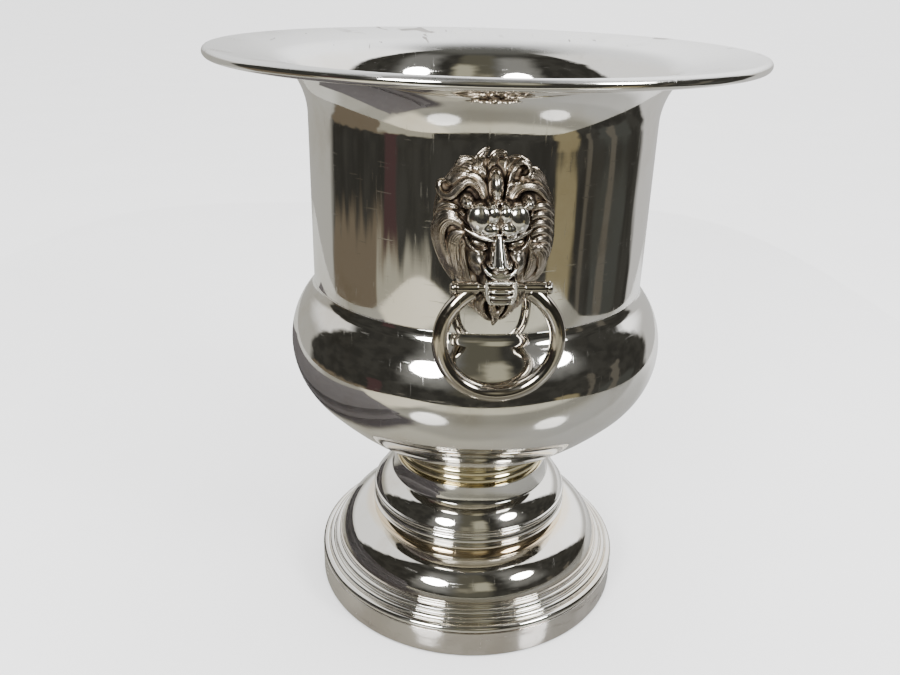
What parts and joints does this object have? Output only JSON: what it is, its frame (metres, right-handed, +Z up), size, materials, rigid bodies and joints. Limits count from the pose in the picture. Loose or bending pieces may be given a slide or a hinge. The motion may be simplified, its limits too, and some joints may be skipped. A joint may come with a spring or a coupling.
{
  "type": "champagne bucket",
  "caption": "Footed urn-shaped silver champagne bucket with a wide flared rim, a bulbous lower bowl, a stepped domed foot and ring handles hung from lion masks.",
  "frame": {"origin": "centre of the base, on the plane that the foot stands on", "axes": "+Z up along the bucket's axis, front lion mask and ring at -Y, back ones at +Y"},
  "size_m": [0.232, 0.232, 0.2621],
  "materials": {
    "silver_plate": "mirror-polished silver plate, warm, with cloudy tarnish and fine scratches",
    "silver_gilt_tone": "polished silver plate turned yellow by tarnish",
    "silver_worn": "smudged and scuffed silver plate",
    "silver_cast": "polished cast silver plate with dark oxidised recesses",
    "brass_fixings": "plain turned brass",
    "steel_fixings": "plain spring steel"
  },
  "bodies": {
    "bucket": {"bucket_body": "silver_plate", "rim_bead": "silver_plate", "lower_bowl": "silver_plate", "neck_collar": "silver_gilt_tone", "upper_foot": "silver_plate", "lower_foot": "silver_plate", "base_band": "silver_worn", "foot_stud": "brass_fixings", "foot_clamp_plate": "brass_fixings", "foot_spring_washer": "steel_fixings", "foot_nut": "brass_fixings", "front_mask": "silver_cast", "front_mask_studs": "brass_fixings", "front_mask_washers": "silver_plate", "front_mask_nuts": "silver_plate", "front_ring_pin": "silver_cast", "back_mask": "silver_cast", "back_mask_studs": "brass_fixings", "back_mask_washers": "silver_plate", "back_mask_nuts": "silver_plate", "back_ring_pin": "silver_cast"},
    "front_handle": {"front_ring": "silver_cast", "front_ring_knuckles": "silver_cast"},
    "back_handle": {"back_ring": "silver_cast", "back_ring_knuckles": "silver_cast"}
  },
  "joints": [
    {"name": "front_ring_swing", "type": "hinge", "parent": "bucket", "child": "front_handle", "pos_m": [0, -0.092, 0.187], "axis": [-1, 0, 0], "range_deg": [-5, 170]},
    {"name": "back_ring_swing", "type": "hinge", "parent": "bucket", "child": "back_handle", "pos_m": [0, 0.092, 0.187], "axis": [1, 0, 0], "range_deg": [-5, 170]}
  ]
}
